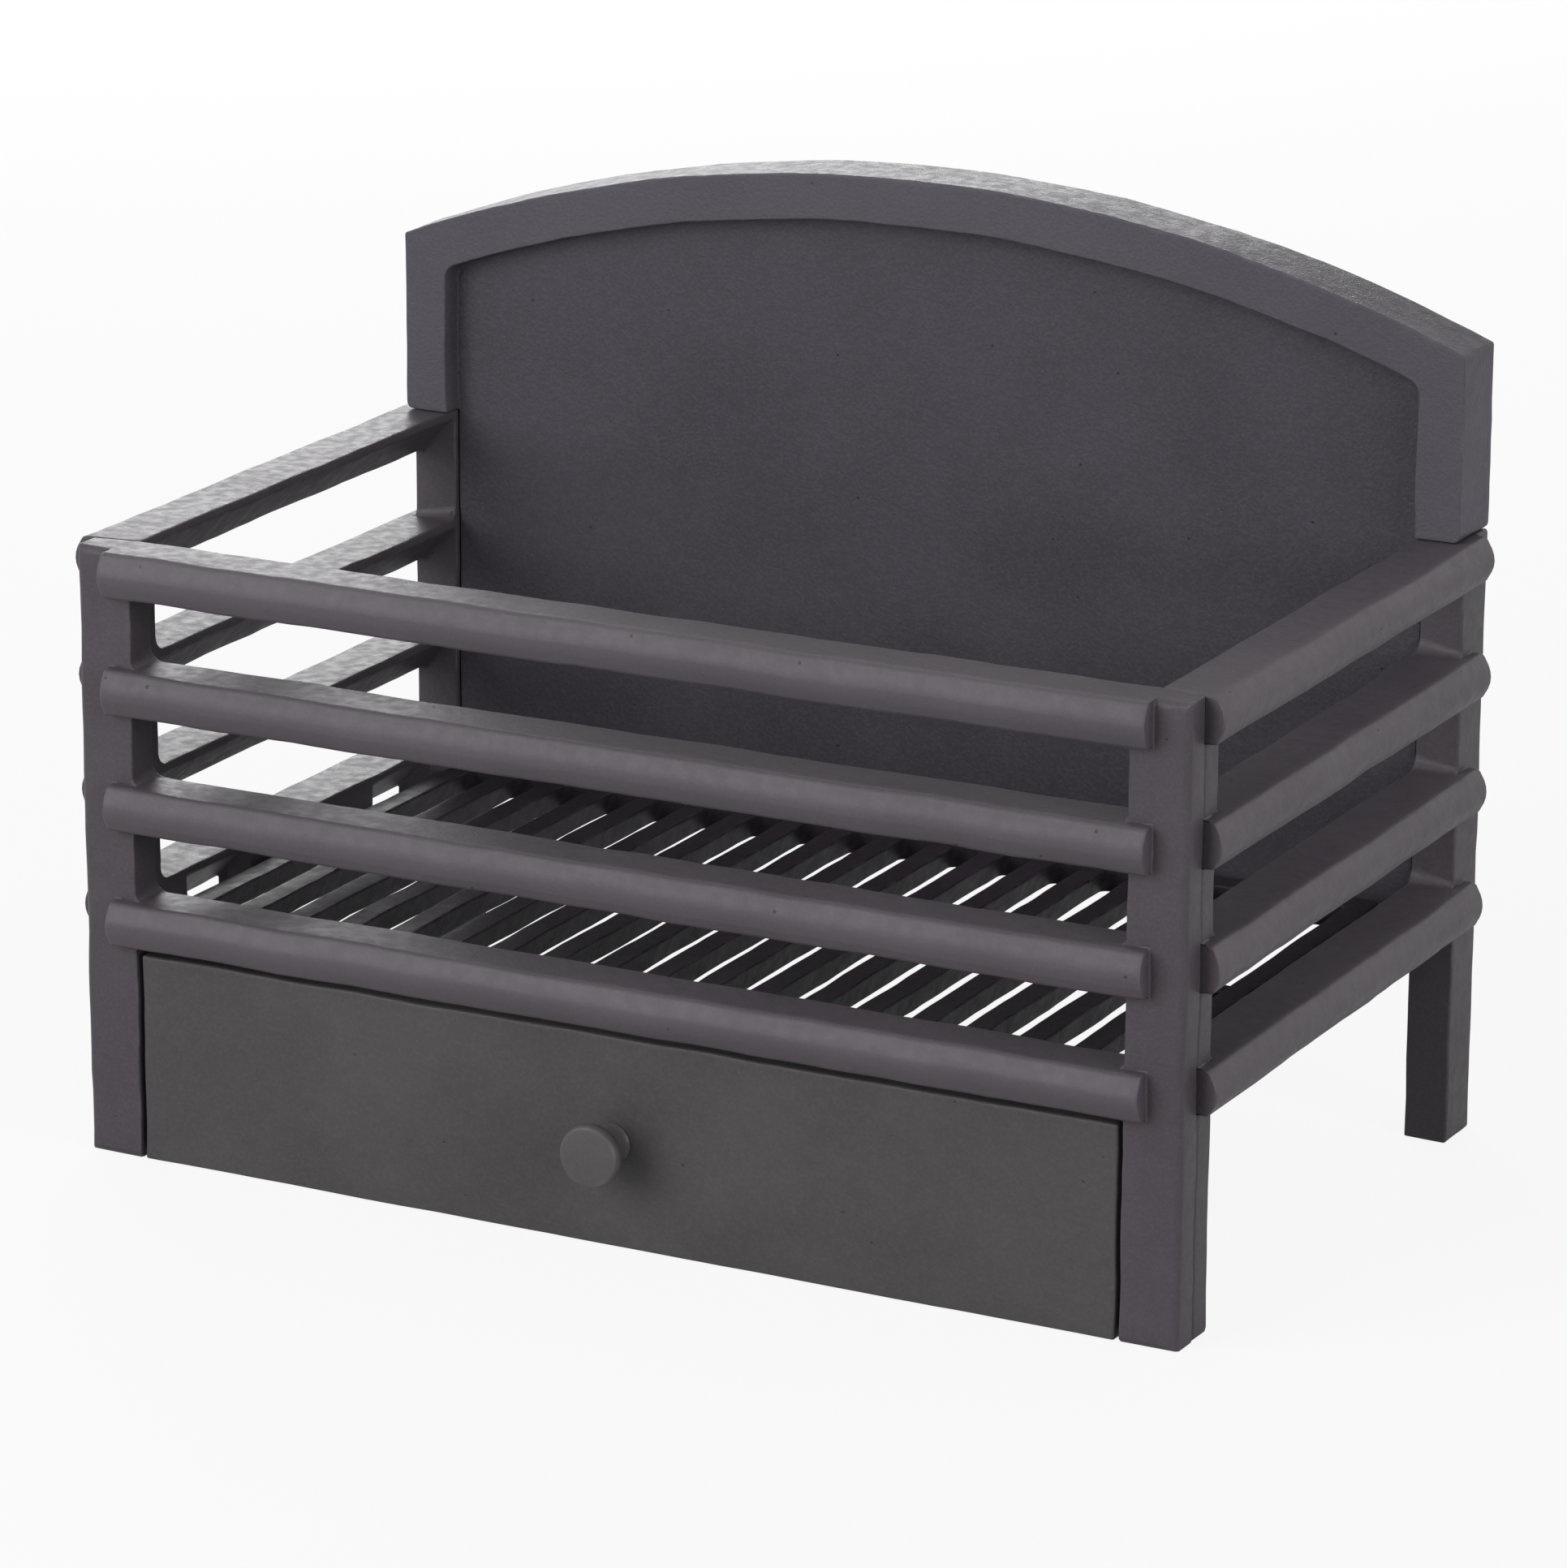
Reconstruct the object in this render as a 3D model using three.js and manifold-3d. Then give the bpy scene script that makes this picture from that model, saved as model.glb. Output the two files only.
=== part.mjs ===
// Log grate: a free-standing cast-iron fire basket with a barred front, barred sides, an arched
// fireback, a lift-out bottom grate and a loose ash cover with a knob.
// Millimetres, +Z up, the front faces -Y. The origin is on the floor, at the middle of the object.

import * as THREE from 'three';
import { ConvexGeometry } from 'three/addons/geometries/ConvexGeometry.js';
import { mergeVertices } from 'three/addons/utils/BufferGeometryUtils.js';
import Module from 'manifold-3d';

const wasm = await Module();
wasm.setup();

// ---------------------------------------------------------------- driving dimensions

// The frame: front panel and side panels
const frameWidth = 457; // across the faces of the two front legs
const frameDepth = 274; // face of the front legs to the back of the rear legs
const frameHeight = 240; // floor to the tops of the panels

const frontThickness = 16;
const frontLegWidth = 23;
const frontArris = 3; // round on the front panel's outer edges
const sideThickness = 18;
const seamSlant = 3; // how much nearer the front the seam between the panels is at the outer face
const frontStile = 8; // at the outer face
const stileLean = 2; // how much deeper it is at the inner face
const rearLegDepth = 23;
const sideArris = 1.5; // round on the side panels' outer edges

// The bars, which have one section on all three panels
const barCount = 4;
const barPitch = 45.5;
const barHeight = 17.6;
const barLand = 3.2; // height of the bar's inner face, above the sloping underside
const barFlat = 4; // outer face of the panel to where the underside starts to slope
const beadStep = 5; // how far the bead's corners stand out of the panel
const beadCrown = 3.1; // how far the bead's middle stands out past its corners
const beadRound = 2; // round on the bead's corners
const beadRoot = 1; // how far behind the slab's rounded edge the bead starts
const frontBeadMargin = 14; // panel edge to bead end on the front
const sideBeadMargin = 12.5; // back of the rear leg to the bead's end
const windowCorner = 2.5; // round of a window's corners
const windowSillCorner = 6; // the same at the inner face's lower corners
const windowDraft = 1; // how much a window widens towards the inside at a leg

// The bottom grate and the ledges that carry it
const grateBars = 19;
const grateBarTop = 9.9;
const grateBarBottom = 5;
const grateThickness = 9.5;
const grateDrop = 7; // top of the lowest bars to the fire bed
const grateRail = 12;
const grateSideGap = 8.3; // side panel to grate
const grateFrontGap = 2.5; // front panel to grate
const grateRimGap = 1; // grate to the fireback's rim, which it passes when lifted
const grateCorner = 4;
const slotCorner = 3;
const ribHeight = 5; // middle rib under the grate's bars
const ribWidth = 9;
const ledgeThickness = 6;
const ledgeLap = 7; // how far a ledge reaches under the outermost bar
const ledgeFillet = 3;
const ledgeBite = 0.5; // how far the end ledges run into the stile and the rear leg
const middleLedge = 92; // length of the ledge in the middle of a side panel
const ledgeGap = 47; // from there to the ledges at the stile and at the rear leg

// The fireback
const backSideHeight = 72.4; // panel tops to the corner of the arch
const archRise = 44;
const archCornerRound = 1;
const rimWidth = 18;
const rimDepth = 29.5;
const recessDepth = 9.5;
const recessCorner = 5;
const recessDraft = 1;
const plateThickness = 8;
const shoulderRound = 3;
const skirtGap = 0.5; // skirt to rear leg
const skirtDrop = 150; // panel tops to the skirt's lower edge
const flangeThickness = 8;

// The ash cover and its knob
const coverThickness = 7.5;
const coverSetback = 0.5; // face of the legs to the cover's face
const coverSideGap = 1.9;
const coverTopGap = 3.6;
const coverFloorGap = 0.4;
const coverArris = 1;
const stopReach = 5; // how far a stop stands out of the leg
const stopDepth = 6;
const stopFloorGap = 2;
const coverFootInset = 8; // cover's end to the outer face of a foot
const coverFootWidth = 5;
const coverFootDepth = 26;
const coverFootHeight = 46;
const coverFootToe = 5;
const knobRadius = 12.2;
const knobFaceRadius = 10.6;
const knobNeckRadius = 6;
const knobFootRadius = 7.5;
const knobLength = 19.8;
const knobNeckLength = 6;
const knobShoulder = 3.6; // face to the widest part

// Fasteners
const boltRadius = 2.5;
const boltHeadFlats = 8;
const boltHeadHeight = 3.5;
const washerRadius = 5;
const washerThickness = 1.2;
const boltGrip = 10; // how far a bolt enters the casting that it holds
const shankRoot = 1; // how far a shank starts inside its head
const holeEnd = 1; // blind hole past the bolt's tip
const frameBoltInset = 7.5; // side panel's outer face to the bolts through its stile
const lowerFrameBolt = 45;
const backBoltSpread = 90;
const screwRadius = 2.5;
const screwHeadRadius = 4.8;
const screwHeadHeight = 3;
const screwGrip = 9;

// Clearances
const fitGap = 0.3; // between pieces that touch, and round a fastener in its hole
const overcut = 4; // how far a cutting solid runs past the face it opens

// Facets to each curve of an outline, and round a turned piece
const archSegments = 16;
const cornerSegments = 3;
const beadSegments = 6;
const slotSegments = 2;
const knobSegments = 24;
const fastenerSegments = 16;

// ---------------------------------------------------------------- derived sizes

const halfWidth = frameWidth / 2;
const sideFront = frontThickness + fitGap;
const beadReach = beadStep + beadCrown;
const barTop = (index) => frameHeight - index * barPitch;
const barBottom = (index) => barTop(index) - barHeight;
const lowestBar = barCount - 1;
const windowBack = frameDepth - rearLegDepth;
const windowFront = sideFront + frontStile;

const rimFront = frameDepth - rimDepth;
const plateFront = rimFront + recessDepth;
const plateBack = plateFront + plateThickness;

const grateWidth = frameWidth - 2 * (sideThickness + grateSideGap);
const gratePitch = (grateWidth - grateBarTop) / (grateBars - 1);
const grateFront = frontThickness + grateFrontGap;
const grateBack = rimFront - grateRimGap;
const grateTop = barTop(lowestBar) - grateDrop;
const grateBottom = grateTop - grateThickness;

const coverBack = coverSetback + coverThickness;
const coverHeight = barBottom(lowestBar) - coverTopGap - coverFloorGap;
const coverHalfWidth = halfWidth - frontLegWidth - coverSideGap;
const knobHeight = coverFloorGap + coverHeight / 2;
const knobFront = coverSetback - fitGap - knobLength;

const fastenerSeat = fitGap + washerThickness + fitGap;
const boltHole = boltRadius + fitGap;
const boltAcross = boltHeadFlats / 2 / Math.cos(Math.PI / 6);
const upperFrameBolt = (barBottom(0) + barTop(1)) / 2;
const backBoltY = plateBack + washerRadius + fitGap;
const backBoltLow = frameHeight - skirtDrop / 2 - backBoltSpread / 2;
const backBoltHeights = [backBoltLow, backBoltLow + backBoltSpread];

// ---------------------------------------------------------------- tools

// A closed geometry as a solid that can be joined and cut
function toSolid(geometry) {
  const bare = new THREE.BufferGeometry();
  bare.setAttribute('position', geometry.getAttribute('position'));
  if (geometry.index) bare.setIndex(geometry.index);
  const merged = mergeVertices(bare, 1e-4);
  return new wasm.Manifold(new wasm.Mesh({
    numProp: 3,
    vertProperties: new Float32Array(merged.attributes.position.array),
    triVerts: new Uint32Array(merged.index.array),
  }));
}

function toGeometry(solid) {
  const { vertProperties, triVerts } = solid.getMesh();
  const geometry = new THREE.BufferGeometry();
  geometry.setAttribute('position', new THREE.BufferAttribute(new Float32Array(vertProperties), 3));
  geometry.setIndex(new THREE.BufferAttribute(new Uint32Array(triVerts), 1));
  return geometry;
}

const join = (solids) => solids.reduce((whole, solid) => whole.add(solid));
const cut = (solid, cutters) => cutters.reduce((rest, cutter) => rest.subtract(cutter), solid);

// A geometry mirrored across X = 0, with its faces still pointing out
function mirrored(geometry) {
  const twin = geometry.clone().scale(-1, 1, 1);
  const index = twin.index.array;
  for (let i = 0; i < index.length; i += 3) [index[i], index[i + 1]] = [index[i + 1], index[i]];
  return twin;
}

// A shape drawn in X and Z, given a thickness from y = front backwards
function standing(shape, front, thickness) {
  const settings = { depth: thickness, bevelEnabled: false, curveSegments: archSegments };
  return new THREE.ExtrudeGeometry(shape, settings)
    .rotateX(Math.PI / 2)
    .translate(0, front + thickness, 0);
}

// A section drawn in Y and Z, run along X from start to end
const alongX = new THREE.Matrix4().makeBasis(
  new THREE.Vector3(0, 1, 0),
  new THREE.Vector3(0, 0, 1),
  new THREE.Vector3(1, 0, 0),
);

function runAlongX(section, start, end, curveSegments = cornerSegments) {
  const settings = { depth: end - start, bevelEnabled: false, curveSegments };
  return new THREE.ExtrudeGeometry(section, settings).applyMatrix4(alongX).translate(start, 0, 0);
}

// A shape drawn from above, made solid from one height to another
function prism(shape, bottom, top) {
  const settings = { depth: top - bottom, bevelEnabled: false, curveSegments: cornerSegments };
  return toSolid(new THREE.ExtrudeGeometry(shape, settings).translate(0, 0, bottom));
}

// The convex body spanned by outlines, each drawn flat and laid at its own level
function spanned(outlines, segments, lay) {
  const points = outlines.flatMap(([outline, level]) => (
    outline.getPoints(segments).map((point) => lay(point, level))
  ));
  return toSolid(new ConvexGeometry(points));
}

const upright = (point, level) => new THREE.Vector3(point.x, level, point.y);
const flat = (point, level) => new THREE.Vector3(point.x, point.y, level);

function polygon(points) {
  return new THREE.Shape(points.map(([x, y]) => new THREE.Vector2(x, y)));
}

function roundedRectangle(left, right, bottom, top, radius, topRadius = radius) {
  const shape = new THREE.Shape();
  shape.absarc(right - topRadius, top - topRadius, topRadius, 0, Math.PI / 2);
  shape.absarc(left + topRadius, top - topRadius, topRadius, Math.PI / 2, Math.PI);
  shape.absarc(left + radius, bottom + radius, radius, Math.PI, 1.5 * Math.PI);
  shape.absarc(right - radius, bottom + radius, radius, 1.5 * Math.PI, 2 * Math.PI);
  shape.closePath();
  return shape;
}

const box = (x0, x1, y0, y1, z0, z1) => toSolid(
  new THREE.BoxGeometry(x1 - x0, y1 - y0, z1 - z0)
    .translate((x0 + x1) / 2, (y0 + y1) / 2, (z0 + z1) / 2),
);

// A round bar from one point to another, for holes
function roundBar(radius, from, to) {
  const path = new THREE.Vector3().subVectors(to, from);
  const turn = new THREE.Quaternion().setFromUnitVectors(
    new THREE.Vector3(0, 1, 0),
    path.clone().normalize(),
  );
  const middle = from.clone().addScaledVector(path, 0.5);
  const bar = new THREE.CylinderGeometry(radius, radius, path.length(), fastenerSegments);
  return toSolid(bar.applyQuaternion(turn).translate(middle.x, middle.y, middle.z));
}

// ---------------------------------------------------------------- barred panels
// A panel is drawn flat: X along it, y = 0 its outer face and y = thickness its inner face.

// The plain slab, its outer face's edges rounded, its inner face's edges sharp
function slab(start, end, thickness, arris) {
  const outline = new THREE.Shape();
  outline.moveTo(start, 0);
  outline.lineTo(end, 0);
  outline.lineTo(end, frameHeight);
  outline.lineTo(start, frameHeight);
  outline.closePath();
  const rounded = new THREE.ExtrudeGeometry(outline, {
    depth: thickness - arris,
    bevelThickness: arris,
    bevelSize: arris,
    bevelOffset: -arris,
    bevelSegments: 3,
  }).rotateX(Math.PI / 2).translate(0, thickness, 0);
  const behind = box(
    start - overcut, end + overcut,
    thickness, thickness + arris + overcut,
    -overcut, frameHeight + overcut,
  );
  return toSolid(rounded).subtract(behind);
}

// The window under a bar: its ends are drafted, its lower corners grow rounder towards the inside,
// and its top flares upwards there, which gives the bar above it a sloping underside
function barWindow([left, right], [leftDraft, rightDraft], sill, head, thickness) {
  const back = thickness + overcut;
  const slope = (barHeight - barLand) / (thickness - barFlat);
  const outlineAt = (depth, top) => {
    const share = depth / thickness;
    const start = left - leftDraft * share;
    const end = right + rightDraft * share;
    const sillCorner = THREE.MathUtils.lerp(windowCorner, windowSillCorner, share);
    return [roundedRectangle(start, end, sill, top, sillCorner, windowCorner), depth];
  };
  const opening = [outlineAt(-overcut, head), outlineAt(back, head)];
  const flare = [outlineAt(barFlat, head), outlineAt(back, head + slope * (back - barFlat))];
  return join([opening, flare].map((outlines) => spanned(outlines, cornerSegments, upright)));
}

// The bead's section: rounded corners and a crowned face, which swells past them
function beadSection(top, root) {
  const bottom = top - barHeight;
  const middle = (top + bottom) / 2;
  const shoulder = -beadStep - beadCrown / 4;
  const crownControl = 2 * -(beadStep + beadCrown) - shoulder;
  const section = new THREE.Shape();
  section.moveTo(root, bottom);
  section.lineTo(root, top);
  section.lineTo(beadRound - beadStep, top);
  section.quadraticCurveTo(-beadStep, top, shoulder, top - beadRound);
  section.quadraticCurveTo(crownControl, middle, shoulder, bottom + beadRound);
  section.quadraticCurveTo(-beadStep, bottom, beadRound - beadStep, bottom);
  section.closePath();
  return section;
}

function barredPanel({ outline, window, draft, thickness, arris, bead }) {
  const beads = [];
  const windows = [];
  for (let i = 0; i < barCount; i += 1) {
    const section = beadSection(barTop(i), arris + beadRoot);
    const sill = i < lowestBar ? barTop(i + 1) : -windowSillCorner - overcut;
    beads.push(toSolid(runAlongX(section, ...bead, beadSegments)));
    windows.push(barWindow(window, draft, sill, barBottom(i), thickness));
  }
  return cut(join([slab(...outline, thickness, arris), ...beads]), windows);
}

// ---------------------------------------------------------------- front panel

// The stop on the inside of a front leg, behind the ash cover: a rib up to the lowest bar
function coverStop(side) {
  const wall = halfWidth - frontLegWidth;
  const reach = side * (wall - stopReach);
  const root = side * (wall + windowDraft + 1);
  const front = coverBack + fitGap;
  return box(
    Math.min(reach, root), Math.max(reach, root),
    front, front + stopDepth,
    stopFloorGap, barTop(lowestBar) - barLand,
  );
}

// Where the side panel's front end lies, at a depth behind its outer face: the seam slants
const seamAt = (depth) => sideFront - seamSlant * (1 - depth / sideThickness);

// What comes off the back of a front leg where the side panel stands against it
function legWedge(side) {
  const inner = halfWidth - sideThickness;
  const outer = halfWidth + overcut;
  return prism(polygon([
    [side * inner, frontThickness],
    [side * outer, seamAt(-overcut) - fitGap],
    [side * outer, frontThickness + overcut],
    [side * inner, frontThickness + overcut],
  ]), -overcut, frameHeight + overcut);
}

function frameBoltHole(side, height) {
  const x = side * (halfWidth - frameBoltInset);
  return roundBar(
    boltHole,
    new THREE.Vector3(x, frontThickness + overcut, height),
    new THREE.Vector3(x, frontThickness - boltGrip - holeEnd, height),
  );
}

function makeFrontPanel() {
  const panel = barredPanel({
    outline: [-halfWidth, halfWidth],
    window: [frontLegWidth - halfWidth, halfWidth - frontLegWidth],
    draft: [windowDraft, windowDraft],
    thickness: frontThickness,
    arris: frontArris,
    bead: [frontBeadMargin - halfWidth, halfWidth - frontBeadMargin],
  });
  const stops = [];
  const cutters = [];
  for (const side of [-1, 1]) {
    stops.push(coverStop(side));
    cutters.push(legWedge(side));
    cutters.push(frameBoltHole(side, lowerFrameBolt), frameBoltHole(side, upperFrameBolt));
  }
  return toGeometry(cut(join([panel, ...stops]), cutters));
}

// ---------------------------------------------------------------- side panels

// A ledge under the bottom grate, with a web up to the sloping underside of the lowest bar. It is
// drawn from above: X along the panel, y = 0 its outer face.
function grateLedge(start, end) {
  const reach = halfWidth - grateWidth / 2 + ledgeLap;
  const plan = new THREE.Shape();
  plan.moveTo(start - ledgeFillet, barFlat);
  plan.quadraticCurveTo(start, barFlat, start, reach);
  plan.lineTo(end, reach);
  plan.quadraticCurveTo(end, barFlat, end + ledgeFillet, barFlat);
  plan.closePath();
  const top = grateBottom - fitGap;
  const gusset = prism(plan, top - ledgeThickness, barTop(lowestBar) - barLand);
  const aboveShelf = box(
    start - ledgeFillet - overcut, end + ledgeFillet + overcut,
    sideThickness, reach + overcut,
    top, barTop(lowestBar),
  );
  return gusset.subtract(aboveShelf);
}

// The three ledges of a side panel: one in the middle, one at the stile and one at the rear leg
function makeLedges() {
  const middle = (windowFront + windowBack) / 2;
  const front = middle - middleLedge / 2;
  const back = middle + middleLedge / 2;
  const ledges = join([
    grateLedge(windowFront, front - ledgeGap),
    grateLedge(front, back),
    grateLedge(back + ledgeGap, windowBack),
  ]);
  const spanEnd = windowBack + windowDraft + ledgeBite;
  const span = box(windowFront - ledgeBite, spanEnd, 0, halfWidth, 0, frameHeight);
  return ledges.intersect(span);
}

// The hole of a bolt through the front stile, with a flat for its washer behind the stile
function stileHole(height) {
  const at = (along) => new THREE.Vector3(along, frameBoltInset, height);
  const past = windowFront + overcut;
  return roundBar(boltHole, at(seamAt(0) - overcut), at(past))
    .add(roundBar(washerRadius + 2 * fitGap, at(windowFront), at(past)));
}

function makeSidePanel() {
  const bead = -beadReach - overcut;
  const panel = barredPanel({
    outline: [seamAt(0), frameDepth],
    window: [windowFront, windowBack],
    draft: [-stileLean, windowDraft],
    thickness: sideThickness,
    arris: sideArris,
    bead: [seamAt(bead), frameDepth - sideBeadMargin],
  });
  const past = sideThickness + overcut;
  const seam = prism(polygon([
    [seamAt(bead), bead],
    [seamAt(past), past],
    [0, past],
    [0, bead],
  ]), -overcut, frameHeight + overcut);
  const bolts = [lowerFrameBolt, upperFrameBolt].map(stileHole);
  const backBolts = backBoltHeights.map((height) => roundBar(
    boltHole,
    new THREE.Vector3(backBoltY, past, height),
    new THREE.Vector3(backBoltY, sideThickness - boltGrip - holeEnd, height),
  ));
  return toGeometry(cut(join([panel, makeLedges()]), [seam, ...bolts, ...backBolts]));
}

// ---------------------------------------------------------------- fireback

const archCorner = frameHeight + backSideHeight;
const archRadius = (halfWidth ** 2 + archRise ** 2) / (2 * archRise);
const archCentre = archCorner + archRise - archRadius;

// The arched outline, inset from the outer edge and running down to a level
function archOutline(inset, level, cornerRound, footRound) {
  const half = halfWidth - inset;
  const radius = archRadius - inset;
  const springAngle = Math.acos(half / radius);
  const corner = archCentre + radius * Math.sin(springAngle);
  const turn = cornerRound / radius;
  const arcEnd = Math.PI - springAngle - turn;
  const outline = new THREE.Shape();
  outline.moveTo(-half + footRound, level);
  outline.lineTo(half - footRound, level);
  outline.quadraticCurveTo(half, level, half, level + footRound);
  outline.lineTo(half, corner - cornerRound);
  outline.quadraticCurveTo(
    half, corner,
    radius * Math.cos(springAngle + turn), archCentre + radius * Math.sin(springAngle + turn),
  );
  outline.absarc(0, archCentre, radius, springAngle + turn, arcEnd);
  outline.quadraticCurveTo(-half, corner, -half, corner - cornerRound);
  outline.lineTo(-half, level + footRound);
  outline.quadraticCurveTo(-half, level, -half + footRound, level);
  return outline;
}

// The hollow in front of the fireback's plate or behind it, narrower at its floor
function archRecess(mouth, floor) {
  const outlineAt = (y, inset) => [
    archOutline(inset, frameHeight - overcut, recessCorner, shoulderRound),
    y,
  ];
  const outlines = [outlineAt(mouth, rimWidth), outlineAt(floor, rimWidth + recessDraft)];
  return spanned(outlines, archSegments, upright);
}

function makeFireback() {
  const shoulder = frameHeight + fitGap;
  const arch = archOutline(0, shoulder, archCornerRound, shoulderRound);
  const rim = toSolid(standing(arch, rimFront, rimDepth));
  const hollows = [
    archRecess(rimFront - overcut, plateFront),
    archRecess(frameDepth + overcut, plateBack),
  ];
  const skirtHalf = halfWidth - sideThickness - skirtGap;
  const skirtFoot = frameHeight - skirtDrop;
  const skirtHead = shoulder + overcut;
  const skirt = box(-skirtHalf, skirtHalf, plateFront, plateBack, skirtFoot, skirtHead);
  const flanges = [-1, 1].map((side) => {
    const outer = side * skirtHalf;
    const inner = side * (skirtHalf - flangeThickness);
    return box(
      Math.min(inner, outer), Math.max(inner, outer),
      plateBack - 1, frameDepth,
      skirtFoot, skirtHead,
    );
  });
  const holes = backBoltHeights.map((height) => roundBar(
    boltHole,
    new THREE.Vector3(-halfWidth, backBoltY, height),
    new THREE.Vector3(halfWidth, backBoltY, height),
  ));
  return toGeometry(cut(join([cut(rim, hollows), skirt, ...flanges]), holes));
}

// ---------------------------------------------------------------- bottom grate

// A slot between two bars, wider below than above so that ash falls clear
function grateSlot(centre, front, back) {
  const outlineAt = (depth) => {
    const bar = THREE.MathUtils.lerp(grateBarTop, grateBarBottom, depth / grateThickness);
    const half = (gratePitch - bar) / 2;
    return [
      roundedRectangle(centre - half, centre + half, front, back, slotCorner),
      grateTop - depth,
    ];
  };
  return spanned([outlineAt(-overcut), outlineAt(grateThickness + overcut)], slotSegments, flat);
}

function makeBottomGrate() {
  const halfGrate = grateWidth / 2;
  const outline = roundedRectangle(-halfGrate, halfGrate, grateFront, grateBack, grateCorner);
  const plate = prism(outline, grateBottom, grateTop);
  const slots = [];
  for (let i = 1; i < grateBars; i += 1) {
    const centre = (i - grateBars / 2) * gratePitch;
    slots.push(grateSlot(centre, grateFront + grateRail, grateBack - grateRail));
  }
  const middle = (grateFront + grateBack) / 2;
  const ribHalf = halfGrate - (grateBarTop - grateBarBottom) / 2;
  const rib = box(
    -ribHalf, ribHalf,
    middle - ribWidth / 2, middle + ribWidth / 2,
    grateBottom, grateBottom + ribHeight,
  );
  return toGeometry(cut(plate, slots).add(rib));
}

// ---------------------------------------------------------------- ash cover and knob

// A foot behind the cover, a web that tapers up from its toe
function coverFoot(side) {
  const outer = side * (coverHalfWidth - coverFootInset);
  const inner = outer - side * coverFootWidth;
  const root = coverBack - coverThickness / 2;
  const toe = coverBack + coverFootDepth;
  const web = new THREE.Shape();
  web.moveTo(root, coverFloorGap);
  web.lineTo(toe, coverFloorGap);
  web.lineTo(toe, coverFloorGap + coverFootToe);
  web.quadraticCurveTo(coverBack, coverFootToe, coverBack, coverFloorGap + coverFootHeight);
  web.lineTo(root, coverFloorGap + coverFootHeight);
  web.closePath();
  return toSolid(runAlongX(web, Math.min(inner, outer), Math.max(inner, outer)));
}

function makeAshCover() {
  const outline = new THREE.Shape();
  outline.moveTo(-coverHalfWidth, coverFloorGap);
  outline.lineTo(coverHalfWidth, coverFloorGap);
  outline.lineTo(coverHalfWidth, coverFloorGap + coverHeight);
  outline.lineTo(-coverHalfWidth, coverFloorGap + coverHeight);
  outline.closePath();
  const plate = new THREE.ExtrudeGeometry(outline, {
    depth: coverThickness - 2 * coverArris,
    bevelThickness: coverArris,
    bevelSize: coverArris,
    bevelOffset: -coverArris,
    bevelSegments: 2,
  }).rotateX(Math.PI / 2).translate(0, coverBack - coverArris, 0);
  const hole = roundBar(
    screwRadius + fitGap,
    new THREE.Vector3(0, coverSetback - overcut, knobHeight),
    new THREE.Vector3(0, coverBack + overcut, knobHeight),
  );
  return toGeometry(join([toSolid(plate), coverFoot(-1), coverFoot(1)]).subtract(hole));
}

// A turned piece: a profile of radius and height along +Z
function turned(profile, segments) {
  return new THREE.LatheGeometry(profile, segments).rotateX(Math.PI / 2);
}

// The knob stands on its foot at z = 0 and faces +Z, with a blind hole for its screw
function makeKnob() {
  const hole = screwRadius + fitGap;
  const widest = knobLength - knobShoulder;
  const profile = new THREE.Path();
  profile.moveTo(0, screwGrip + holeEnd);
  profile.lineTo(hole, screwGrip + holeEnd);
  profile.lineTo(hole, 0);
  profile.lineTo(knobFootRadius, 0);
  profile.quadraticCurveTo(knobNeckRadius, knobNeckLength / 3, knobNeckRadius, knobNeckLength);
  profile.bezierCurveTo(
    knobNeckRadius, (knobNeckLength + widest) / 2,
    knobRadius, (knobNeckLength + widest) / 2,
    knobRadius, widest,
  );
  profile.quadraticCurveTo(knobRadius, knobLength, knobFaceRadius, knobLength);
  profile.lineTo(0, knobLength);
  return turned(profile.getPoints(cornerSegments + 1), knobSegments);
}

// ---------------------------------------------------------------- fasteners
// A fastener's seat is at z = 0: its shank runs to +Z and its head to -Z.

function makeBolt(grip) {
  const shank = new THREE.CylinderGeometry(boltRadius, boltRadius, grip + shankRoot, fastenerSegments)
    .rotateX(Math.PI / 2).translate(0, 0, (grip - shankRoot) / 2);
  const head = new THREE.CylinderGeometry(boltAcross, boltAcross, boltHeadHeight, 6)
    .rotateX(Math.PI / 2).translate(0, 0, -boltHeadHeight / 2);
  return toGeometry(toSolid(head).add(toSolid(shank)));
}

function makeScrew(grip) {
  const profile = new THREE.Path();
  profile.moveTo(0, -screwHeadHeight);
  profile.lineTo(screwHeadRadius / 2, -screwHeadHeight);
  profile.quadraticCurveTo(screwHeadRadius, -screwHeadHeight, screwHeadRadius, 0);
  profile.lineTo(screwRadius, 0);
  profile.lineTo(screwRadius, grip);
  profile.lineTo(0, grip);
  return turned(profile.getPoints(cornerSegments), fastenerSegments);
}

// The washer lies between the seat and the casting, on the shank
function makeWasher(hole, radius) {
  const profile = new THREE.Path();
  profile.moveTo(hole, fitGap);
  profile.lineTo(radius, fitGap);
  profile.lineTo(radius, fitGap + washerThickness);
  profile.lineTo(hole, fitGap + washerThickness);
  profile.lineTo(hole, fitGap);
  return turned(profile.getPoints(), fastenerSegments);
}

// ---------------------------------------------------------------- the assembly

const castIron = { color: 0x545257, roughness: 0.62, metalness: 0.25 };
const darkIron = { color: 0x454449, roughness: 0.72, metalness: 0.2 };
const blackSteel = { color: 0x3a393c, roughness: 0.5, metalness: 0.6 };

const logGrate = new THREE.Group();
logGrate.position.y = -(frameDepth + knobFront) / 2;

function place(name, geometry, finish, position = [0, 0, 0], rotation = [0, 0, 0]) {
  const mesh = new THREE.Mesh(geometry, new THREE.MeshStandardMaterial(finish));
  mesh.name = name;
  mesh.position.set(...position);
  mesh.rotation.set(...rotation);
  logGrate.add(mesh);
}

const quarter = Math.PI / 2;

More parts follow.
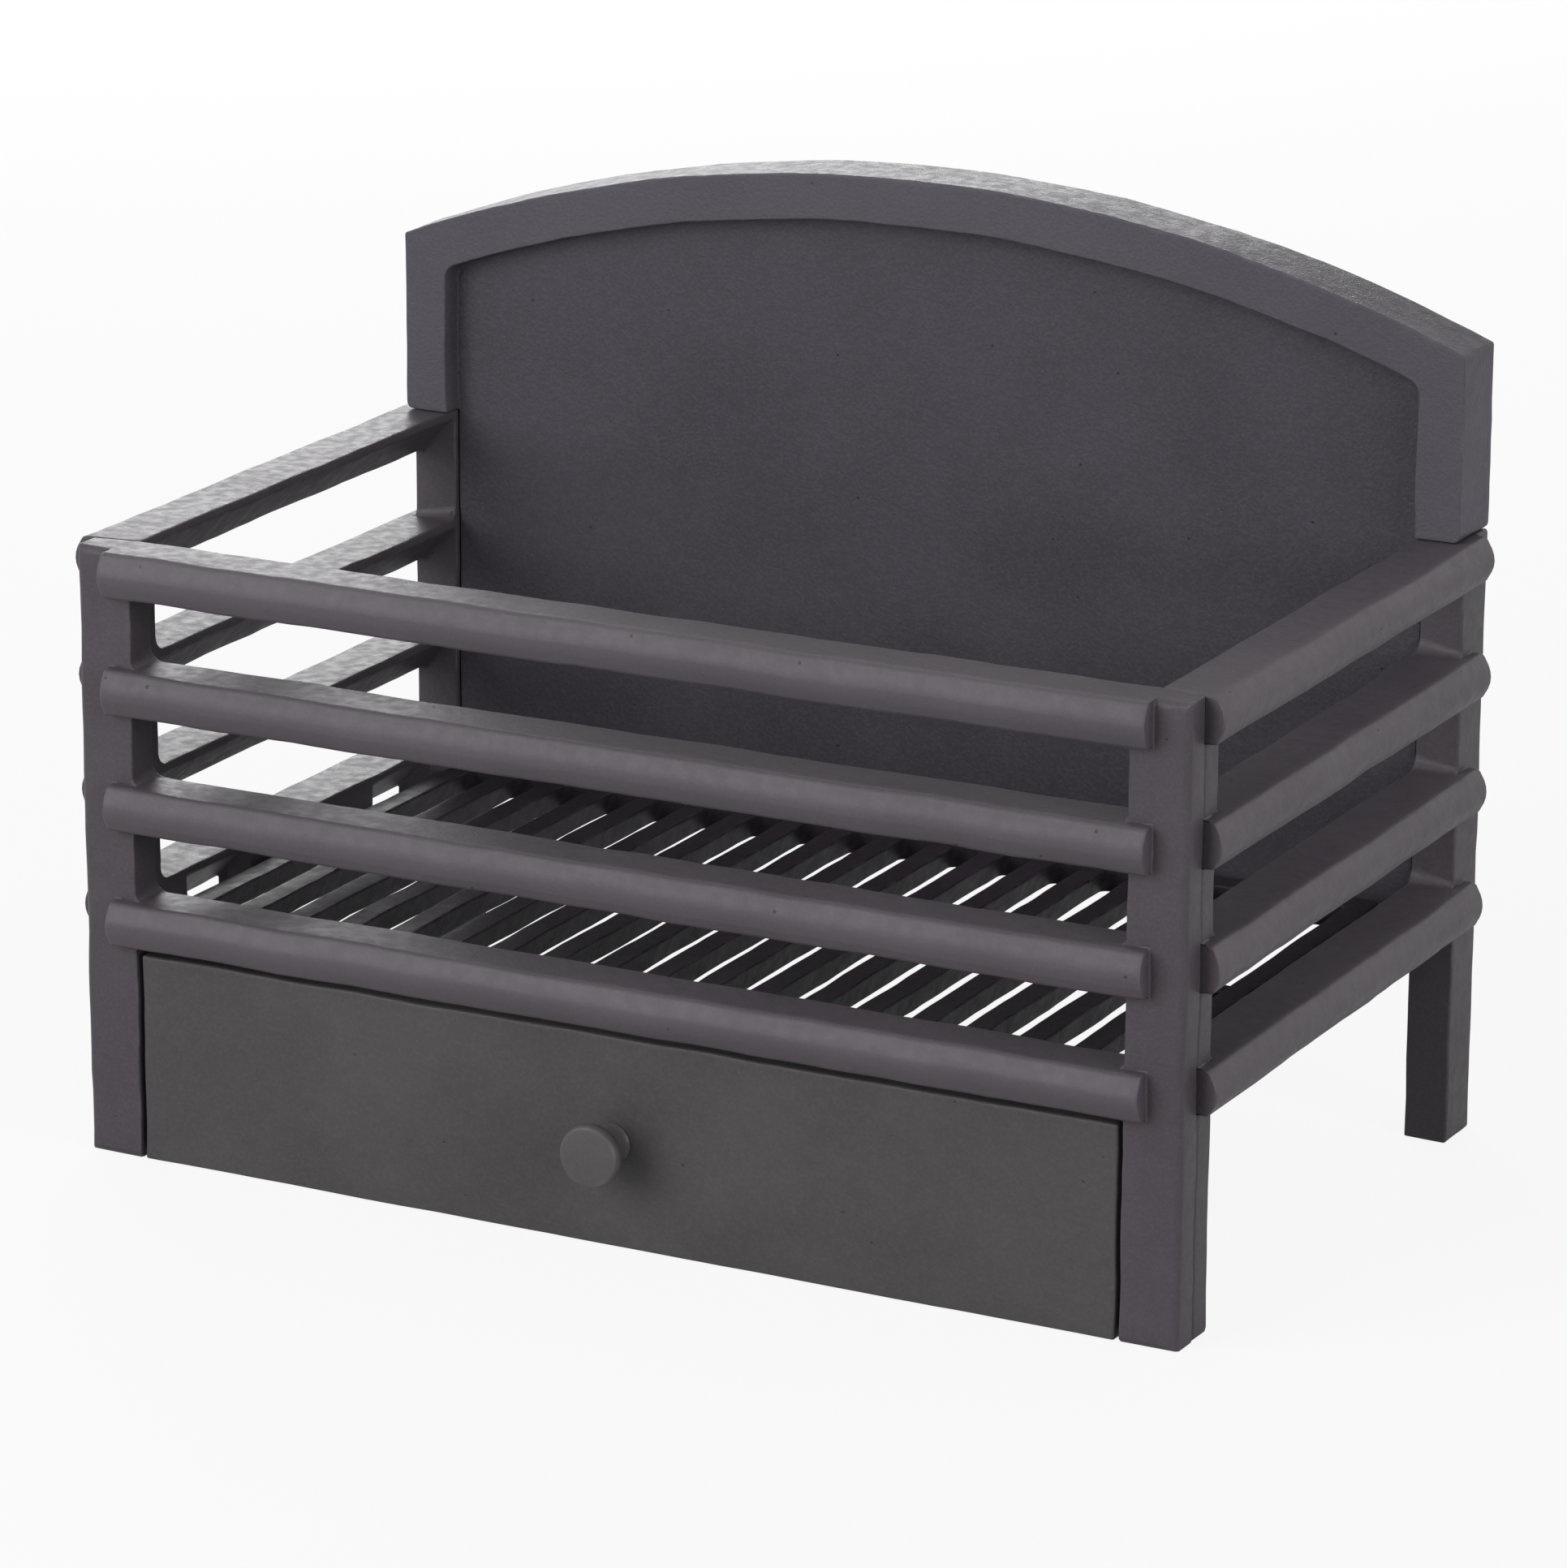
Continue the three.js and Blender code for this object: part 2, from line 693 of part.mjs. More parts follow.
place('front_panel', makeFrontPanel(), castIron);

const sidePanel = makeSidePanel();
place('side_panel_right', sidePanel, castIron, [halfWidth, 0, 0], [0, 0, quarter]);
place('side_panel_left', mirrored(sidePanel), castIron, [-halfWidth, 0, 0], [0, 0, -quarter]);

place('fireback', makeFireback(), darkIron);
place('bottom_grate', makeBottomGrate(), darkIron);
place('ash_cover', makeAshCover(), castIron);

// Pieces that face the front are turned so that their +Z looks along -Y
const facingFront = [quarter, 0, 0];
place('knob', makeKnob(), castIron, [0, coverSetback - fitGap, knobHeight], facingFront);
const screwSeat = coverBack + fastenerSeat;
const screwLength = fastenerSeat + coverThickness + fitGap + screwGrip;
const screwPlace = [0, screwSeat, knobHeight];
const screwWasher = makeWasher(screwRadius + fitGap, screwHeadRadius);
place('knob_screw', makeScrew(screwLength), blackSteel, screwPlace, facingFront);
place('knob_washer', screwWasher, blackSteel, screwPlace, facingFront);

const frameBoltSeat = windowFront + fastenerSeat;
const frameBolt = makeBolt(frameBoltSeat - frontThickness + boltGrip);
const backBolt = makeBolt(fastenerSeat + flangeThickness + skirtGap + boltGrip);
const washer = makeWasher(boltHole, washerRadius);

for (const [sideName, side] of [['left', -1], ['right', 1]]) {
  const boltX = side * (halfWidth - frameBoltInset);
  for (const [level, height] of [['lower', lowerFrameBolt], ['upper', upperFrameBolt]]) {
    const seat = [boltX, frameBoltSeat, height];
    place(`frame_bolt_${sideName}_${level}`, frameBolt, blackSteel, seat, facingFront);
    place(`frame_washer_${sideName}_${level}`, washer, blackSteel, seat, facingFront);
  }
  const seatX = side * (halfWidth - sideThickness - skirtGap - flangeThickness - fastenerSeat);
  const facingOut = [0, side * quarter, 0];
  for (const [level, height] of [['lower', backBoltHeights[0]], ['upper', backBoltHeights[1]]]) {
    const seat = [seatX, backBoltY, height];
    place(`fireback_bolt_${sideName}_${level}`, backBolt, blackSteel, seat, facingOut);
    place(`fireback_washer_${sideName}_${level}`, washer, blackSteel, seat, facingOut);
  }
}

export default logGrate;
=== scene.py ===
import math

import bmesh
import bpy
from mathutils import Matrix, Vector, noise


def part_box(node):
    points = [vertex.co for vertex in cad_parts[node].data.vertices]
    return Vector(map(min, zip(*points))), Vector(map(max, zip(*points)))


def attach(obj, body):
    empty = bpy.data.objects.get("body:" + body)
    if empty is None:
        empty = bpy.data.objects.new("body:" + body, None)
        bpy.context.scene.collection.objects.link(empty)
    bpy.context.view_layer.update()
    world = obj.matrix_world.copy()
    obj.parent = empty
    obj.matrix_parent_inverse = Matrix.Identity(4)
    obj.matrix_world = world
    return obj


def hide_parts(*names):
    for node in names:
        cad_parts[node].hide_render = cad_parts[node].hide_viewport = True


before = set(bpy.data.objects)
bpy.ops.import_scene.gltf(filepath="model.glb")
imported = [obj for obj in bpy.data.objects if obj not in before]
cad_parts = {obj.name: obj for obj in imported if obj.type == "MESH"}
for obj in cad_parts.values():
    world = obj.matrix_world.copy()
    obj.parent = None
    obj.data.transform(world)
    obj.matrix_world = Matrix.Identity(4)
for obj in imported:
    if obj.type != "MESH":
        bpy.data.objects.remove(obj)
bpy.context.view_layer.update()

MM = 0.001


# ---------------------------------------------------------------- node tools

def node(tree, kind, inputs=None, **settings):
    """A node with its settings. An input is a plain value or the output of another node."""
    made = tree.nodes.new(kind)
    for name, value in settings.items():
        setattr(made, name, value)
    for socket, value in (inputs or {}).items():
        if isinstance(value, bpy.types.NodeSocket):
            tree.links.new(value, made.inputs[socket])
        else:
            made.inputs[socket].default_value = value
    return made


def grain(tree, place, size, detail=2.0):
    """Noise whose lumps are about that many metres across."""
    inputs = {"Vector": place, "Scale": 1 / size, "Detail": detail}
    return node(tree, "ShaderNodeTexNoise", inputs).outputs[0]


def ranged(tree, value, low, high, to_low=0.0, to_high=1.0):
    """A value's stretch from low to high, eased onto another stretch."""
    inputs = {0: value, 1: low, 2: high, 3: to_low, 4: to_high}
    return node(tree, "ShaderNodeMapRange", inputs, interpolation_type="SMOOTHSTEP").outputs[0]


def computed(tree, first, second, operation="ADD"):
    return node(tree, "ShaderNodeMath", {0: first, 1: second}, operation=operation).outputs[0]


def blended(tree, share, first, second):
    inputs = {0: share, 6: first, 7: second}
    return node(tree, "ShaderNodeMix", inputs, data_type="RGBA").outputs[2]


def raised(tree, height, depth, normal=None):
    inputs = {"Distance": depth, "Height": height}
    if normal:
        inputs["Normal"] = normal
    return node(tree, "ShaderNodeBump", inputs).outputs[0]


def shade(red, green, blue):
    """A colour given as 0 to 255 on screen, in the linear values that a shader takes."""
    return tuple((value / 255) ** 2.2 for value in (red, green, blue)) + (1.0,)


# ---------------------------------------------------------------- materials

# Sizes of the skin's features
ORANGE_PEEL = 1.3 * MM  # the paint's fine texture over the sand skin
SAND_LUMP = 5 * MM
SAND_LUMP_DEPTH = 0.17 * MM
BLOWHOLE_SPACING = 15 * MM
BLOWHOLE = 0.8 * MM  # the widest radius of one
BLOWHOLE_DEPTH = 0.25 * MM
CLOUD = 70 * MM
RUBBED_AND_HIGHLIT_PATCH = 9 * MM

# Shares of colour: the paint's dark and light tones, and from there to the pale tone of dust, wear and
# painted light, and to the painted shade in the blowholes
CLOUD_SHARE = 0.6  # of the paint's tone, and the rest follows the lumps
DUST = 0.12
# painted light: how far the paint is painted paler where a casting stands proud
PROUD_PAINTED_LIGHT = 0.3
# partly wear, partly painted highlight: how far the outer arrises turn paler
ARRIS_RUBBING_AND_HIGHLIGHT = 0.45
# painted shade: how far the blowholes are painted dark, in the colour below
BLOWHOLE_SHADE_SHARE = 0.5
BLOWHOLE_SHADE = shade(30, 28, 30)

SHINE_OF_RUBBING = 0.08  # how much less rough a rubbed arris is

# Fasteners
OIL_BLOTCH = 4 * MM
SCUFF = 0.8 * MM
SCUFF_DEPTH = 0.03 * MM


def cast_iron(name, dark, light, worn_and_lit, roughness, peel_depth, gloss=0.3):
    """Stove paint on sand-cast iron, paler in patches along the outer arrises, partly from wear and
    partly as a painted highlight, and painted paler where it stands proud, as painted light.
    """
    material = bpy.data.materials.new(name)
    material.use_nodes = True
    tree = material.node_tree
    shader = tree.nodes["Principled BSDF"]
    place = node(tree, "ShaderNodeTexCoord").outputs["Object"]

    clouds = ranged(tree, grain(tree, place, CLOUD, 4.0), 0.36, 0.64)
    lumps = grain(tree, place, SAND_LUMP, 3.0)
    peel = grain(tree, place, ORANGE_PEEL, 2.0)
    cells = node(tree, "ShaderNodeTexVoronoi", {"Vector": place, "Scale": 1 / BLOWHOLE_SPACING})
    wide = BLOWHOLE / BLOWHOLE_SPACING
    holes = ranged(tree, cells.outputs["Distance"], 0.4 * wide, wide, 1.0, 0.0)

    broad = computed(tree, clouds, CLOUD_SHARE, "MULTIPLY")
    fine = computed(tree, lumps, 1 - CLOUD_SHARE, "MULTIPLY")
    paint = blended(tree, computed(tree, broad, fine), shade(*dark), shade(*light))
    dusty = blended(tree, ranged(tree, peel, 0.4, 0.7, 0.0, DUST), paint, shade(*worn_and_lit))

    # Outer arrises turn paler in patches: partly wear of the paint, partly a painted highlight along
    # the edges.
    arris = node(tree, "ShaderNodeAttribute", attribute_name="arris").outputs["Fac"]
    patches = ranged(tree, grain(tree, place, RUBBED_AND_HIGHLIT_PATCH, 4.0), 0.42, 0.66)
    rubbed_and_highlit = computed(tree, ranged(tree, arris, 0.3, 1.0, 0.0, ARRIS_RUBBING_AND_HIGHLIGHT), patches, "MULTIPLY")
    # Where a casting stands proud its paint is painted paler: painted light on the beads, the
    # fireback's rim and the knob's face.
    proud = node(tree, "ShaderNodeAttribute", attribute_name="proud").outputs["Fac"]
    lit_where_proud = blended(tree, ranged(tree, proud, 0.2, 1.0, 0.0, PROUD_PAINTED_LIGHT), dusty, shade(*worn_and_lit))
    skin = blended(tree, rubbed_and_highlit, lit_where_proud, shade(*worn_and_lit))
    # The blowholes are painted dark: painted shade in the pits.
    painted_hole_shade = computed(tree, holes, BLOWHOLE_SHADE_SHARE, "MULTIPLY")
    tree.links.new(blended(tree, painted_hole_shade, skin, BLOWHOLE_SHADE), shader.inputs["Base Color"])

    satin = ranged(tree, lumps, 0.3, 0.7, roughness - 0.05, roughness + 0.06)
    smoother = computed(tree, rubbed_and_highlit, SHINE_OF_RUBBING, "MULTIPLY")
    tree.links.new(computed(tree, satin, smoother, "SUBTRACT"), shader.inputs["Roughness"])

    lumpy = raised(tree, lumps, SAND_LUMP_DEPTH)
    holed = raised(tree, computed(tree, 1.0, holes, "SUBTRACT"), BLOWHOLE_DEPTH, lumpy)
    tree.links.new(raised(tree, peel, peel_depth, holed), shader.inputs["Normal"])
    shader.inputs["Specular IOR Level"].default_value = gloss
    return material


def blackened_steel(name):
    """Oiled black fasteners, turned bright in places by the spanner."""
    material = bpy.data.materials.new(name)
    material.use_nodes = True
    tree = material.node_tree
    shader = tree.nodes["Principled BSDF"]
    place = node(tree, "ShaderNodeTexCoord").outputs["Object"]
    blotches = ranged(tree, grain(tree, place, OIL_BLOTCH, 4.0), 0.35, 0.7)
    scuffs = ranged(tree, grain(tree, place, SCUFF, 3.0), 0.58, 0.75, 0.0, 0.6)
    steel = blended(tree, blotches, shade(38, 37, 40), shade(62, 60, 64))
    tree.links.new(blended(tree, scuffs, steel, shade(120, 117, 120)), shader.inputs["Base Color"])
    tree.links.new(ranged(tree, blotches, 0.0, 1.0, 0.34, 0.5), shader.inputs["Roughness"])
    tree.links.new(raised(tree, scuffs, SCUFF_DEPTH), shader.inputs["Normal"])
    shader.inputs["Metallic"].default_value = 0.7
    return material


FRAME_IRON = cast_iron(
    "frame_iron", dark=(77, 72, 78), light=(87, 82, 88), worn_and_lit=(117, 110, 117),
    roughness=0.46, peel_depth=0.08 * MM)
FIREBACK_IRON = cast_iron(
    "fireback_iron", dark=(76, 72, 79), light=(84, 81, 88), worn_and_lit=(120, 115, 127),
    roughness=0.44, peel_depth=0.24 * MM, gloss=0.15)
# The grate's tones are darker than the frame's: painted shade, for a grate that lies deep in the
# basket.
SHADED_GRATE_IRON = cast_iron(
    "grate_iron", dark=(52, 47, 53), light=(63, 57, 64), worn_and_lit=(100, 95, 100),
    roughness=0.46, peel_depth=0.1 * MM, gloss=0.1)
COVER_IRON = cast_iron(
    "cover_iron", dark=(77, 74, 76), light=(87, 85, 86), worn_and_lit=(114, 110, 113),
    roughness=0.44, peel_depth=0.08 * MM)
BLACK_STEEL = blackened_steel("black_steel")


# ---------------------------------------------------------------- casting skin

ARRIS = 0.7 * MM  # round on a casting's corners, outside and inside
LEAST_CORNER = 33.0  # degrees of bend from which a casting's corner is rounded
CUT_STEP = 8 * MM  # how closely a casting's faces are cut up, so that they can wander
WANDER = 0.5 * MM  # the most that the mould let a face move, over longer stretches
WANDER_LENGTH = 30 * MM
RIPPLE = 0.22 * MM  # the same over short stretches
RIPPLE_LENGTH = 9 * MM
FLOOR_ZONE = 12 * MM  # within this height the undersides stay flat on the floor
FLAT = 0.5  # degrees of bend up to which faces count as one
JOIN = 0.002 * MM  # places closer than this are one

BODY_FIXINGS = [
    f"{kind}_{side}_{level}" for kind in ("frame_bolt", "fireback_bolt")
    for side in ("left", "right") for level in ("lower", "upper")
]
FIXING_BOXES = [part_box(name) for name in BODY_FIXINGS]
FIXING_ROOM = 4 * MM


def near_fixing(place):
    """Whether a place lies at a bolt, where a casting's machined corners stay sharp."""
    return any(
        all(low[i] - FIXING_ROOM < place[i] < high[i] + FIXING_ROOM for i in range(3))
        for low, high in FIXING_BOXES
    )


def settled(piece):
    """The piece with its modifiers made real."""
    bpy.context.view_layer.update()
    graph = bpy.context.evaluated_depsgraph_get()
    mesh = bpy.data.meshes.new_from_object(piece.evaluated_get(graph), depsgraph=graph)
    piece.modifiers.clear()
    piece.data = mesh
    return piece


def new_piece(name, mesh):
    piece = bpy.data.objects.new(name, mesh)
    bpy.context.scene.collection.objects.link(piece)
    return piece


def round_corners(bm, least_angle):
    """Rounds a casting's corners and marks the faces that this makes."""
    corners = []
    for edge in bm.edges:
        if len(edge.link_faces) == 2 and edge.calc_face_angle() > least_angle:
            middle = (edge.verts[0].co + edge.verts[1].co) / 2
            if near_fixing(middle):
                edge.smooth = False
            else:
                corners.append(edge)
    strip = bm.faces.layers.int.new("strip")
    made = bmesh.ops.bevel(
        bm, geom=corners, offset=ARRIS, offset_type="OFFSET", segments=2, profile=0.5,
        affect="EDGES", clamp_overlap=False,
    )
    for face in made["faces"]:
        face[strip] = 1
    return strip


def cut_up(bm):
    """Cuts a casting's faces by planes across all three axes."""
    for axis in range(3):
        places = [vert.co[axis] for vert in bm.verts]
        low = min(places)
        count = int((max(places) - low) / CUT_STEP)
        across = Vector((axis == 0, axis == 1, axis == 2))
        for step in range(1, count + 1):
            everything = bm.verts[:] + bm.edges[:] + bm.faces[:]
            place = across * (low + step * CUT_STEP)
            bmesh.ops.bisect_plane(bm, geom=everything, dist=JOIN, plane_co=place, plane_no=across)


def wander(place):
    """How far the sand mould let a place on a casting move."""
    drift = noise.noise_vector(place / WANDER_LENGTH) * WANDER
    drift += noise.noise_vector(place / RIPPLE_LENGTH) * RIPPLE
    drift.z *= min(1.0, place.z / FLOOR_ZONE)
    return drift


def cast_piece(name, bm, least_angle=LEAST_CORNER, proud_of=None):
    """A casting with rounded corners and slightly uneven faces, from its plain solid.

    Where parts of it stand proud of its plain face, proud_of says by what share at a place.
    """
    bmesh.ops.remove_doubles(bm, verts=bm.verts, dist=JOIN)
    bmesh.ops.dissolve_limit(bm, angle_limit=math.radians(FLAT), verts=bm.verts, edges=bm.edges)
    strip = round_corners(bm, math.radians(least_angle))
    cut_up(bm)
    # 1 in the middle of an outer corner's round, half at its sides, 0 on faces and in inner corners
    arris = bm.verts.layers.float.new("arris")
    for vert in bm.verts:
        marks = [face[strip] for face in vert.link_faces]
        bend = sum(edge.calc_face_angle_signed(0.0) for edge in vert.link_edges)
        vert[arris] = (bend > 0) * (1.0 if all(marks) else 0.5 * any(marks))
    if proud_of:
        proud = bm.verts.layers.float.new("proud")
        for vert in bm.verts:
            vert[proud] = min(1.0, max(0.0, proud_of(vert.co)))
    for vert in bm.verts:
        vert.co += wander(vert.co)
    bmesh.ops.recalc_face_normals(bm, faces=bm.faces)
    mesh = bpy.data.meshes.new(name)
    bm.to_mesh(mesh)
    bm.free()
    for face in mesh.polygons:
        face.use_smooth = True
    piece = new_piece(name, mesh)
    even = piece.modifiers.new("even", "WEIGHTED_NORMAL")
    even.keep_sharp = True
    even.weight = 60
    return settled(piece)


def finish_piece(piece, body, slot, material, *nodes):
    """Gives a piece its material and body, and puts it in the place of the plain solids."""
    piece.data.materials.clear()
    piece.data.materials.append(material)
    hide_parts(*nodes)
    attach(piece, body)


def plain_solid(name):
    bm = bmesh.new()
    bm.from_mesh(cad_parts[name].data)
    return bm


# ---------------------------------------------------------------- panels, fireback and ash cover

BEAD_STEP = 5 * MM  # how far the bars' beads stand out of the legs' faces at their corners
BEAD_CROWN = 3.1 * MM  # how far a bead's middle stands out past its corners
RIM_STEP = 9.5 * MM  # recess to the face of the fireback's rim
COVER_LEAST_CORNER = 50.0  # the ash cover's chamfers bend by less and stay as they are


def make_panels():
    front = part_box("front_panel")[0].y + BEAD_STEP + BEAD_CROWN
    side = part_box("side_panel_right")[1].x - BEAD_STEP - BEAD_CROWN
    # Shares of each panel that stand proud in its beads; the paint is painted paler there, as painted
    # light on the beads.
    proud_shares = {
        "front_panel": lambda place: (front - place.y) / BEAD_STEP,
        "side_panel_left": lambda place: (-place.x - side) / BEAD_STEP,
        "side_panel_right": lambda place: (place.x - side) / BEAD_STEP,
    }
    for name, proud_of in proud_shares.items():
        piece = cast_piece(f"{name}_casting", plain_solid(name), proud_of=proud_of)
        finish_piece(piece, "basket", "frame_iron", FRAME_IRON, name)


def make_fireback():
    low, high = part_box("fireback")

    def rim_share(place):
        """1 on the rim's face and its outer sides, 0 in the recess; where it is 1 the paint is painted
        paler, as painted light on the rim.
        """
        forwards = 1 - (place.y - low.y) / RIM_STEP
        sideways = 1 - (high.x - abs(place.x)) / ARRIS
        return max(forwards, sideways)

    piece = cast_piece("fireback_casting", plain_solid("fireback"), proud_of=rim_share)
    finish_piece(piece, "basket", "fireback_iron", FIREBACK_IRON, "fireback")


def make_ash_cover():
    piece = cast_piece("ash_cover_casting", plain_solid("ash_cover"), COVER_LEAST_CORNER)
    finish_piece(piece, "cover", "cover_iron", COVER_IRON, "ash_cover")


# ---------------------------------------------------------------- bottom grate

GRATE_BARS = 19
BAR_TOP = 9.9 * MM  # a bar's width at its top
BAR_BOTTOM = 5 * MM
GRATE_RAIL = 12 * MM
SLOT_CORNER = 3 * MM
GRATE_CORNER = 4 * MM
RIB_HEIGHT = 5 * MM
RIB_WIDTH = 9 * MM
CORNER_STEPS = 4
SEAM_JOIN = 5 * JOIN  # closes the rails where they are cut between two bars


def slot_side(half_bar, half_pitch, front, back):
    """The side of a bar that looks into a slot, from above, from the front rail to the rear one."""
    half = []
    for step in range(CORNER_STEPS + 1):
        turn = math.pi / 2 * step / CORNER_STEPS
        x = half_bar + SLOT_CORNER * (1 - math.sin(turn))
        half.append((x, GRATE_RAIL + SLOT_CORNER * (1 - math.cos(turn))))
    half = [(half_pitch, 0.0), (half_pitch, GRATE_RAIL)] + half
    near = [(x, front + y) for x, y in half]
    far = [(x, back - y) for x, y in reversed(half)]
    return near + far


def end_side(half_bar, front, back):
    """The outer side of an end bar, from above, from the front to the rear, with round corners."""
    points = []
    for start, y in ((-math.pi / 2, front + GRATE_CORNER), (0.0, back - GRATE_CORNER)):
        for step in range(CORNER_STEPS + 1):
            turn = start + math.pi / 2 * step / CORNER_STEPS
            x = half_bar - GRATE_CORNER + GRATE_CORNER * math.cos(turn)
            points.append((x, y + GRATE_CORNER * math.sin(turn)))
    return points


def add_bar(bm, right_sides, left_sides, low, high, centre, seam):
    """One bar with its stretch of both rails. Its sides are given at the top and at the bottom."""
    rings = []
    for right, left, z in zip(right_sides, left_sides, (high.z, low.z)):
        outline = right + [(-x, y) for x, y in reversed(left)]
        rings.append([bm.verts.new((centre + x, y, z)) for x, y in outline])
    top, bottom = rings
    bm.faces.new(top)
    bm.faces.new(reversed(bottom))
    # The rails stay open where the next bar's stretch of them goes on.
    for i, vert in enumerate(top):
        after = (i + 1) % len(top)
        open_end = all(abs(abs(v.co.x - centre) - seam) < JOIN for v in (vert, top[after]))
        if not open_end or vert.co.x * top[after].co.x < 0:
            bm.faces.new((vert, bottom[i], bottom[after], top[after]))


def grate_tree():
    """Repeats a bar across the grate between the two end bars, and joins them all."""
    tree = bpy.data.node_groups.new("grate_bars", "GeometryNodeTree")
    face = tree.interface
    sockets = {
        name: face.new_socket(name, in_out="INPUT", socket_type=kind)
        for name, kind in (
            ("End Bars", "NodeSocketGeometry"), ("Bar", "NodeSocketObject"),
            ("Bar Count", "NodeSocketInt"), ("Bar Pitch", "NodeSocketFloat"),
            ("Iron", "NodeSocketMaterial"),
        )
    }
    face.new_socket("Grate", in_out="OUTPUT", socket_type="NodeSocketGeometry")
    given = node(tree, "NodeGroupInput").outputs
    spaces = computed(tree, given["Bar Count"], 1.0, "SUBTRACT")
    width = computed(tree, spaces, given["Bar Pitch"], "MULTIPLY")
    start = node(tree, "ShaderNodeCombineXYZ", {0: computed(tree, width, -0.5, "MULTIPLY")}).outputs[0]
    step = node(tree, "ShaderNodeCombineXYZ", {0: given["Bar Pitch"]}).outputs[0]
    line = node(tree, "GeometryNodeMeshLine", {
        "Count": given["Bar Count"], "Start Location": start, "Offset": step,
    }).outputs[0]
    bar = node(tree, "GeometryNodeObjectInfo", {"Object": given["Bar"]}).outputs["Geometry"]
    bars = node(tree, "GeometryNodeInstanceOnPoints", {"Points": line, "Instance": bar}).outputs[0]
    whole = node(tree, "GeometryNodeJoinGeometry")
    tree.links.new(given["End Bars"], whole.inputs[0])
    tree.links.new(bars, whole.inputs[0])
    real = node(tree, "GeometryNodeRealizeInstances", {0: whole.outputs[0]}).outputs[0]
    merged = node(tree, "GeometryNodeMergeByDistance", {"Geometry": real, "Distance": SEAM_JOIN})
    dressed = node(tree, "GeometryNodeSetMaterial", {
        "Geometry": merged.outputs[0], "Material": given["Iron"],
    })
    node(tree, "NodeGroupOutput", {0: dressed.outputs[0]})
    return tree, {name: socket.identifier for name, socket in sockets.items()}


def make_bottom_grate():
    low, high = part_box("bottom_grate")
    pitch = (high.x - low.x - BAR_TOP) / (GRATE_BARS - 1)
    seam = pitch / 2
    slots = [slot_side(width / 2, seam, low.y, high.y) for width in (BAR_TOP, BAR_BOTTOM)]
    outer = [end_side(BAR_TOP / 2, low.y, high.y)] * 2

    inner = bmesh.new()
    add_bar(inner, slots, slots, low, high, 0.0, seam)
    bar_mesh = bpy.data.meshes.new("grate_bar")
    inner.to_mesh(bar_mesh)
    inner.free()
    bar = new_piece("grate_bar", bar_mesh)

    ends = bmesh.new()
    add_bar(ends, slots, outer, low, high, low.x + BAR_TOP / 2, seam)
    add_bar(ends, outer, slots, low, high, high.x - BAR_TOP / 2, seam)
    ends_mesh = bpy.data.meshes.new("grate_ends")
    ends.to_mesh(ends_mesh)
    ends.free()
    grate = new_piece("grate_whole", ends_mesh)

    tree, sockets = grate_tree()
    repeat = grate.modifiers.new("bars", "NODES")
    repeat.node_group = tree
    repeat[sockets["Bar"]] = bar
    repeat[sockets["Bar Count"]] = GRATE_BARS - 2
    repeat[sockets["Bar Pitch"]] = pitch
    repeat[sockets["Iron"]] = SHADED_GRATE_IRON
    settled(grate)

    bm = bmesh.new()
    bm.from_mesh(grate.data)
    rib_half = (high.x - low.x - BAR_TOP + BAR_BOTTOM) / 2
    middle = Vector((0.0, (low.y + high.y) / 2, low.z + RIB_HEIGHT / 2))
    size = Matrix.Diagonal((2 * rib_half, RIB_WIDTH, RIB_HEIGHT, 1.0))
    bmesh.ops.create_cube(bm, size=1.0, matrix=Matrix.Translation(middle) @ size)
    for spare in (grate, bar):
        bpy.data.objects.remove(spare)
    piece = cast_piece("bottom_grate_casting", bm)
    finish_piece(piece, "grate", "grate_iron", SHADED_GRATE_IRON, "bottom_grate")


# ---------------------------------------------------------------- turned pieces

def curve(points, steps):
    """Points along the smooth curve that the given ones control, without the first."""
    path = []
    for step in range(1, steps + 1):
        share = step / steps
        row = [Vector(point) for point in points]
        while len(row) > 1:
            row = [a.lerp(b, share) for a, b in zip(row, row[1:])]
        path.append(tuple(row[0]))
    return path


def add_turned(bm, profile, segments, place=Matrix.Identity(4)):
    """A closed turned form: its profile is radius and height, up the axis Z."""
    rings = []
    for radius, height in profile:
        count = segments if radius > 0 else 1
        turns = [2 * math.pi * i / count for i in range(count)]
        rings.append([
            bm.verts.new(place @ Vector((radius * math.cos(t), radius * math.sin(t), height)))
            for t in turns
        ])
    for inner, outer in zip(rings, rings[1:]):
        for i in range(segments):
            j = (i + 1) % segments
            corners = (
                inner[i % len(inner)], inner[j % len(inner)],
                outer[j % len(outer)], outer[i % len(outer)],
            )
            face = tuple(dict.fromkeys(corners))
            if len(face) > 2:
                bm.faces.new(face)


SHARP = 40.0  # degrees of bend from which a turned piece's edge is sharp
FASTENER_SHARP = 30.0


def turned_piece(name, bm, sharp_angle=SHARP):
    """A smooth object from a turned form, with its sharp edges kept."""
    bmesh.ops.remove_doubles(bm, verts=bm.verts, dist=JOIN)
    bmesh.ops.recalc_face_normals(bm, faces=bm.faces)
    for edge in bm.edges:
        edge.smooth = edge.calc_face_angle(0.0) < math.radians(sharp_angle)
    for face in bm.faces:
        face.smooth = True
    mesh = bpy.data.meshes.new(name)
    bm.to_mesh(mesh)
    bm.free()
    return new_piece(name, mesh)


def facing_front(node_name, depth):
    """Where a piece turned to the front stands: its axis Z looks along -Y, its seat at that depth.

    The seat goes where the mould let the casting's face go.
    """
    low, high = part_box(node_name)
    middle = (low + high) / 2
    seat = Vector((middle.x, depth, middle.z))
    return Matrix.Translation(seat + wander(seat)) @ Matrix.Rotation(math.pi / 2, 4, "X")


